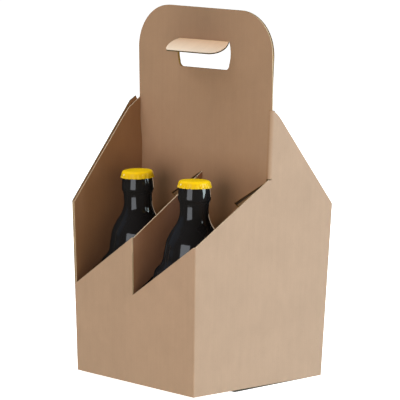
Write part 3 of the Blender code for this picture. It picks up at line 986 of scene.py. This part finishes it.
def build_carrier():
    """The carrier's boards, each where the blank's folds put it."""
    right_fold = HANDLE_HALF * math.sin(HANDLE_TURN)
    sides = (
        ("right", right_fold, TALL_RIGHT, CROWN_RIGHT, as_is),
        ("left", right_fold - 2 * BOARD, TALL_LEFT, CROWN_LEFT, half_turn),
    )
    walls = wall_ring("walls")
    cutters = [cell_cutter("cut_front", as_is), cell_cutter("cut_back", half_turn)]
    for side, fold, tall, crown, place in sides:
        cutters.append(side_cutter(f"cut_{side}", fold, tall, crown, place))
    cut(walls, cutters)
    dress(walls, lambda p: wall_depth(p) / BOARD, OUTER_LINER, CELL_SHADE_LINER, low_side)
    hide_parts("carrier")
    across = lambda p: (half_width(p.z) - BOARD - abs(p.x) - standoff(abs(p.y), p.z)) / LAYER_THICKNESS
    for side, fold, tall, crown, place in sides:
        layer = inner_layer(f"layer_{side}", fold + BOARD * 1.5, tall, place)
        dress(layer, across, OUTER_LINER, LAYER_SHADE_LINER)
        strip = handle_fold(f"handle_fold_{side}", fold, crown, place)
        dress_fold(strip)
    panels = (
        ("front", 0.0, 1, TALL_RIGHT, HANDLE_LINER, handle_outline, 0.0),
        ("back", BOARD + LAYER_GAP, -1, TALL_LEFT, SHADED_BETWEEN_LINER, never, BACK_HOLE_RAISE),
    )
    for side, near, way, tall, liner, rim, raised in panels:
        panel = handle_panel(f"handle_{side}", near, near + BOARD - LAYER_GAP, way, tall)
        cut(panel, [tooth_cutter("teeth", way), hole_cutter("hole", raised)])
        depth = lambda p, start=near: (handle_depth(p) - start) / (BOARD - LAYER_GAP)
        dress(panel, depth, liner, HANDLE_LINER, rim, SLIT_SHADE_RIM)
    strips = (
        ("front", -LAYER_GAP, as_is, -1, INNER_LINER),
        ("back", -2 * BOARD - LAYER_GAP, half_turn, 1, CELL_SHADE_LINER),
    )
    for side, back_y, place, way, liner in strips:
        strip = divider(f"divider_{side}", back_y, place)
        dress(strip, lambda p, way=way: way * p.x / BOARD, liner, liner)
    floor = floor_board("floor_boards")
    dress(floor, lambda p: (p.z - FOOT) / (FLOOR_TOP - FOOT), OUTER_LINER, INNER_LINER)
    for side, place in (("right", as_is), ("left", half_turn)):
        flap = bottom_flap(f"bottom_flap_{side}", place)
        dress(flap, lambda p: p.z / (WALL_FOOT - LAYER_GAP), OUTER_LINER, INNER_LINER, never, FOOT_SHADOW_RIM)


def flap_bulge(s, depth):
    """How far the hand hole's flap curls off a straight one, down on its right and up on its left."""
    t = max(depth, 0.0) / FLAP_LENGTH
    return 4 * (FLAP_BULGE + FLAP_TWIST * s / HOLE_HALF_TOP) * t * (1 - t)


def build_flap():
    """The hand hole's flap, folded out to the front on its crease and a little curled."""
    outline = hole_outline(-FLAP_ROOT, FLAP_LENGTH, FLAP_CORNER, FLAP_CORNER_TALL, FLAP_GAP)
    rows = []
    for half, depth in outline[:len(outline) // 2]:
        rows.append([(half * (2 * i / FLAP_COLUMNS - 1), depth) for i in range(FLAP_COLUMNS + 1)])
    front = lambda s, depth: (s, flap_bulge(s, depth), -depth)
    back = lambda s, depth: (s, flap_bulge(s, depth) + BOARD, -depth)
    flap = curved_slab("hand_flap", rows, front, back, as_is)
    place = Matrix.Translation(handle_point(0.0, 0.0, HOLE_TOP))
    flap.matrix_world = place @ Matrix.Rotation(HANDLE_TURN, 4, "Z") @ Matrix.Rotation(-FLAP_OPEN, 4, "X")
    across = lambda p: (p.y - flap_bulge(p.x, -p.z)) / BOARD
    dress(flap, across, FLAP_LIT_LINER, FLAP_BACK, never, body="flap")
    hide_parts("handle_flap")


# Bottles

def smooth_curve(points, steps):
    """Points along a Catmull-Rom curve through a few given ones."""
    curve = []
    ends = [points[0]] + list(points) + [points[-1]]
    for p0, p1, p2, p3 in zip(ends, ends[1:], ends[2:], ends[3:]):
        for i in range(steps):
            t = i / steps
            curve.append(tuple(
                0.5 * (2 * b + (c - a) * t + (2 * a - 5 * b + 4 * c - d) * t**2
                       + (3 * b - a - 3 * c + d) * t**3)
                for a, b, c, d in zip(p0, p1, p2, p3)
            ))
    return curve + [points[-1]]


def bottle_profile():
    """Half outline of the bottle, bottom to top, as radius and height above its base."""
    punt = []
    for i in range(1, PUNT_STEPS + 1):
        share = i / PUNT_STEPS
        punt.append((PUNT_RADIUS * share, PUNT_DEPTH * (1 - share ** 2)))
    flat = BOTTLE_RADIUS - BOTTLE_BASE_ROUND
    base = corner_arc(flat, BOTTLE_BASE_ROUND, BOTTLE_BASE_ROUND, -math.pi / 2, BASE_STEPS)
    start, end = base[-1][1], SHOULDER[0][1]
    side = [(BOTTLE_RADIUS, start + (end - start) * i / SIDE_STEPS) for i in range(1, SIDE_STEPS)]
    shoulder = smooth_curve(SHOULDER, SHOULDER_STEPS)
    ring = smooth_curve(RING, RING_STEPS)[1:]
    return punt + base + side + shoulder + ring + list(LIP)


def ring(z, radii):
    """Points round the axis at a height, evenly spread, one for each radius."""
    points = []
    for i, radius in enumerate(radii):
        angle = 2 * math.pi * i / len(radii)
        points.append((radius * math.cos(angle), radius * math.sin(angle), z))
    return points


def ring_solid(name, rings, first_z, last_z):
    """A closed solid through rings of points, with a fan to the axis at each end."""
    bm = bmesh.new()
    loops = [[bm.verts.new(point) for point in points] for points in rings]
    for loop, next_loop in zip(loops, loops[1:]):
        for i in range(len(loop)):
            j = (i + 1) % len(loop)
            bm.faces.new((loop[i], loop[j], next_loop[j], next_loop[i]))
    for loop, z in ((loops[0], first_z), (loops[-1], last_z)):
        centre = bm.verts.new((0.0, 0.0, z))
        for i in range(len(loop)):
            bm.faces.new((loop[i], loop[(i + 1) % len(loop)], centre))
    return finish_object(name, bm)


def bottle_shape(name):
    """A shut bottle, turned from its half outline."""
    profile = bottle_profile()
    rings = [ring(z, [radius] * BOTTLE_SEGMENTS) for radius, z in profile]
    return ring_solid(name, rings, profile[0][1], profile[-1][1])


def cap_rows():
    """Rows of the cap's outer side: radius, height above its foot, and how deep the flutes are."""
    rows = []
    for radius, drop in CAP_SIDE:
        t = min(max((drop - CAP_FLUTE_START) / (CAP_HEIGHT - CAP_FLUTE_START), 0.0), 1.0)
        rows.append((radius, CAP_HEIGHT - drop, CAP_FLUTE * t ** CAP_FLUTE_POWER))
    return rows


def cap_shape(name):
    """A crown cap: a slightly domed top, a fluted skirt with a rolled foot, and a hollow below."""
    columns = CAP_FLUTES * CAP_COLUMNS
    outer = cap_rows()
    inner = [(r - HOLLOW_INSET, z, depth) for r, z, depth in reversed(outer) if r > HOLLOW_FROM]
    inner.append((CEILING_RADIUS, CAP_HEIGHT - CAP_WALL - CEILING_DROP, 0.0))
    crests = [math.cos(CAP_FLUTES * (2 * math.pi * i / columns)) for i in range(columns)]
    ridges = [c * (CAP_FLUTE_ROUND + (1 - CAP_FLUTE_ROUND) * abs(c)) for c in crests]
    rings = [ring(z, [r + flute * ridge for ridge in ridges]) for r, z, flute in outer + inner]
    cap = ring_solid(name, rings, CAP_HEIGHT, CAP_HEIGHT - CAP_WALL)
    cap.data.materials.append(LACQUER)
    cap.data.materials.append(TIN)
    for face in cap.data.polygons:
        outward = face.normal.dot((face.center.x, face.center.y, 0.0))
        looks_down = face.normal.z < -0.5
        looks_in = outward < -0.002
        if looks_down or looks_in:
            face.material_index = 1
    return cap


def build_bottles():
    """The four capped bottles, each standing on the floor of its cell."""
    bottle_mesh = cap_mesh = None
    for spot, (x, y, lean_x, lean_y, tilt) in BOTTLE_SPOTS.items():
        if bottle_mesh is None:
            bottle = bottle_shape(f"glass_{spot}")
            cap = cap_shape(f"crown_{spot}")
            bottle_mesh, cap_mesh = bottle.data, cap.data
            bottle_mesh.materials.append(GLASS)
            smooth(bottle_mesh, SMOOTH_BOTTLE)
            smooth(cap_mesh, SMOOTH_CAP)
        else:
            bottle = bpy.data.objects.new(f"glass_{spot}", bottle_mesh)
            cap = bpy.data.objects.new(f"crown_{spot}", cap_mesh)
            bpy.context.scene.collection.objects.link(bottle)
            bpy.context.scene.collection.objects.link(cap)
        lift = BOTTLE_RADIUS * math.radians(math.hypot(lean_x, lean_y))
        bottle.location = (x, y, FLOOR_TOP + GAP + lift)
        bottle.rotation_euler = (math.radians(lean_x), math.radians(lean_y), 0.0)
        bpy.context.view_layer.update()
        tilt_each_way = math.radians(tilt) / math.sqrt(2)
        seat = Matrix.Translation((0.0, 0.0, CAP_FOOT + CAP_RADIUS * math.radians(tilt)))
        cap.matrix_world = (bottle.matrix_world @ seat @ Matrix.Rotation(tilt_each_way, 4, "Y")
                            @ Matrix.Rotation(tilt_each_way, 4, "X"))
        pieces = (
            (bottle, f"bottle_{spot}", "bottle_glass"),
            (cap, f"cap_{spot}", "cap_paint"),
        )
        for piece, node, slot in pieces:
            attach(piece, "pack")
            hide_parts(node)


# Studio

def area_light(name, azimuth, elevation, size, radiance, shine):
    """A soft rectangle that faces the carrier and isn't seen itself.

    It lights the matt surfaces, or with shine only shows as a reflection in the glossy ones.
    """
    a, e = math.radians(azimuth), math.radians(elevation)
    data = bpy.data.lights.new(name, "AREA")
    data.shape = "RECTANGLE"
    data.size, data.size_y = size
    brightest = max(radiance)
    data.energy = brightest * math.pi * size[0] * size[1]
    data.color = [value / brightest for value in radiance]
    light = bpy.data.objects.new(name, data)
    bpy.context.scene.collection.objects.link(light)
    way = Vector((math.sin(a) * math.cos(e), -math.cos(a) * math.cos(e), math.sin(e)))
    light.location = Vector(LIT_CENTRE) + way * (LIGHT_DISTANCE - SHINE_NEARER * shine)
    light.rotation_euler = (Vector(LIT_CENTRE) - light.location).to_track_quat("-Z", "Y").to_euler()
    light.visible_camera = False
    light.visible_glossy = shine
    light.visible_diffuse = not shine


def build_room():
    """A dim even room round the carrier, which looks white to the camera."""
    world = bpy.data.worlds.new("room")
    bpy.context.scene.world = world
    world.use_nodes = True
    tree = world.node_tree
    tree.nodes.clear()
    way = add(tree, "ShaderNodeTexCoord").outputs["Generated"]
    height = add(tree, "ShaderNodeSeparateXYZ", {0: way}).outputs[2]
    is_above = math_node(tree, "GREATER_THAN", height, 0.0)
    glow = blend(tree, is_above, ROOM_BELOW, ROOM_ABOVE)
    room = add(tree, "ShaderNodeBackground", {"Color": glow, "Strength": 1.0}).outputs[0]
    seen = add(tree, "ShaderNodeBackground", {"Color": WHITE, "Strength": 1.0}).outputs[0]
    to_camera = add(tree, "ShaderNodeLightPath").outputs["Is Camera Ray"]
    mix = add(tree, "ShaderNodeMixShader", {0: to_camera, 1: room, 2: seen})
    add(tree, "ShaderNodeOutputWorld", {0: mix.outputs[0]})
    world.cycles_visibility.glossy = False


def build_floor():
    """A white floor, which lights and shades nothing itself."""
    bm = bmesh.new()
    bmesh.ops.create_grid(bm, x_segments=1, y_segments=1, size=FLOOR_SIZE)
    floor = finish_object("studio_floor", bm)
    material, tree, shader = new_material("studio_white")
    grain = spread(tree, noise(tree, object_place(tree), 40.0, 3.0), 0.995, 1.005)
    tree.links.new(tinted(tree, (0.86, 0.86, 0.86), grain), shader.inputs["Base Color"])
    shader.inputs["Roughness"].default_value = 1.0
    shader.inputs["Specular IOR Level"].default_value = 0.0
    shader.inputs["Emission Color"].default_value = WHITE
    shader.inputs["Emission Strength"].default_value = 1.00
    floor.data.materials.append(material)
    floor.visible_glossy = False
    floor.visible_diffuse = False
    floor.visible_shadow = False


build_carrier()
build_flap()
build_bottles()
build_room()
build_floor()
for light in LIGHTS:
    area_light(*light)

bpy.context.scene.view_settings.view_transform = "Standard"
bpy.context.scene.view_settings.look = "None"
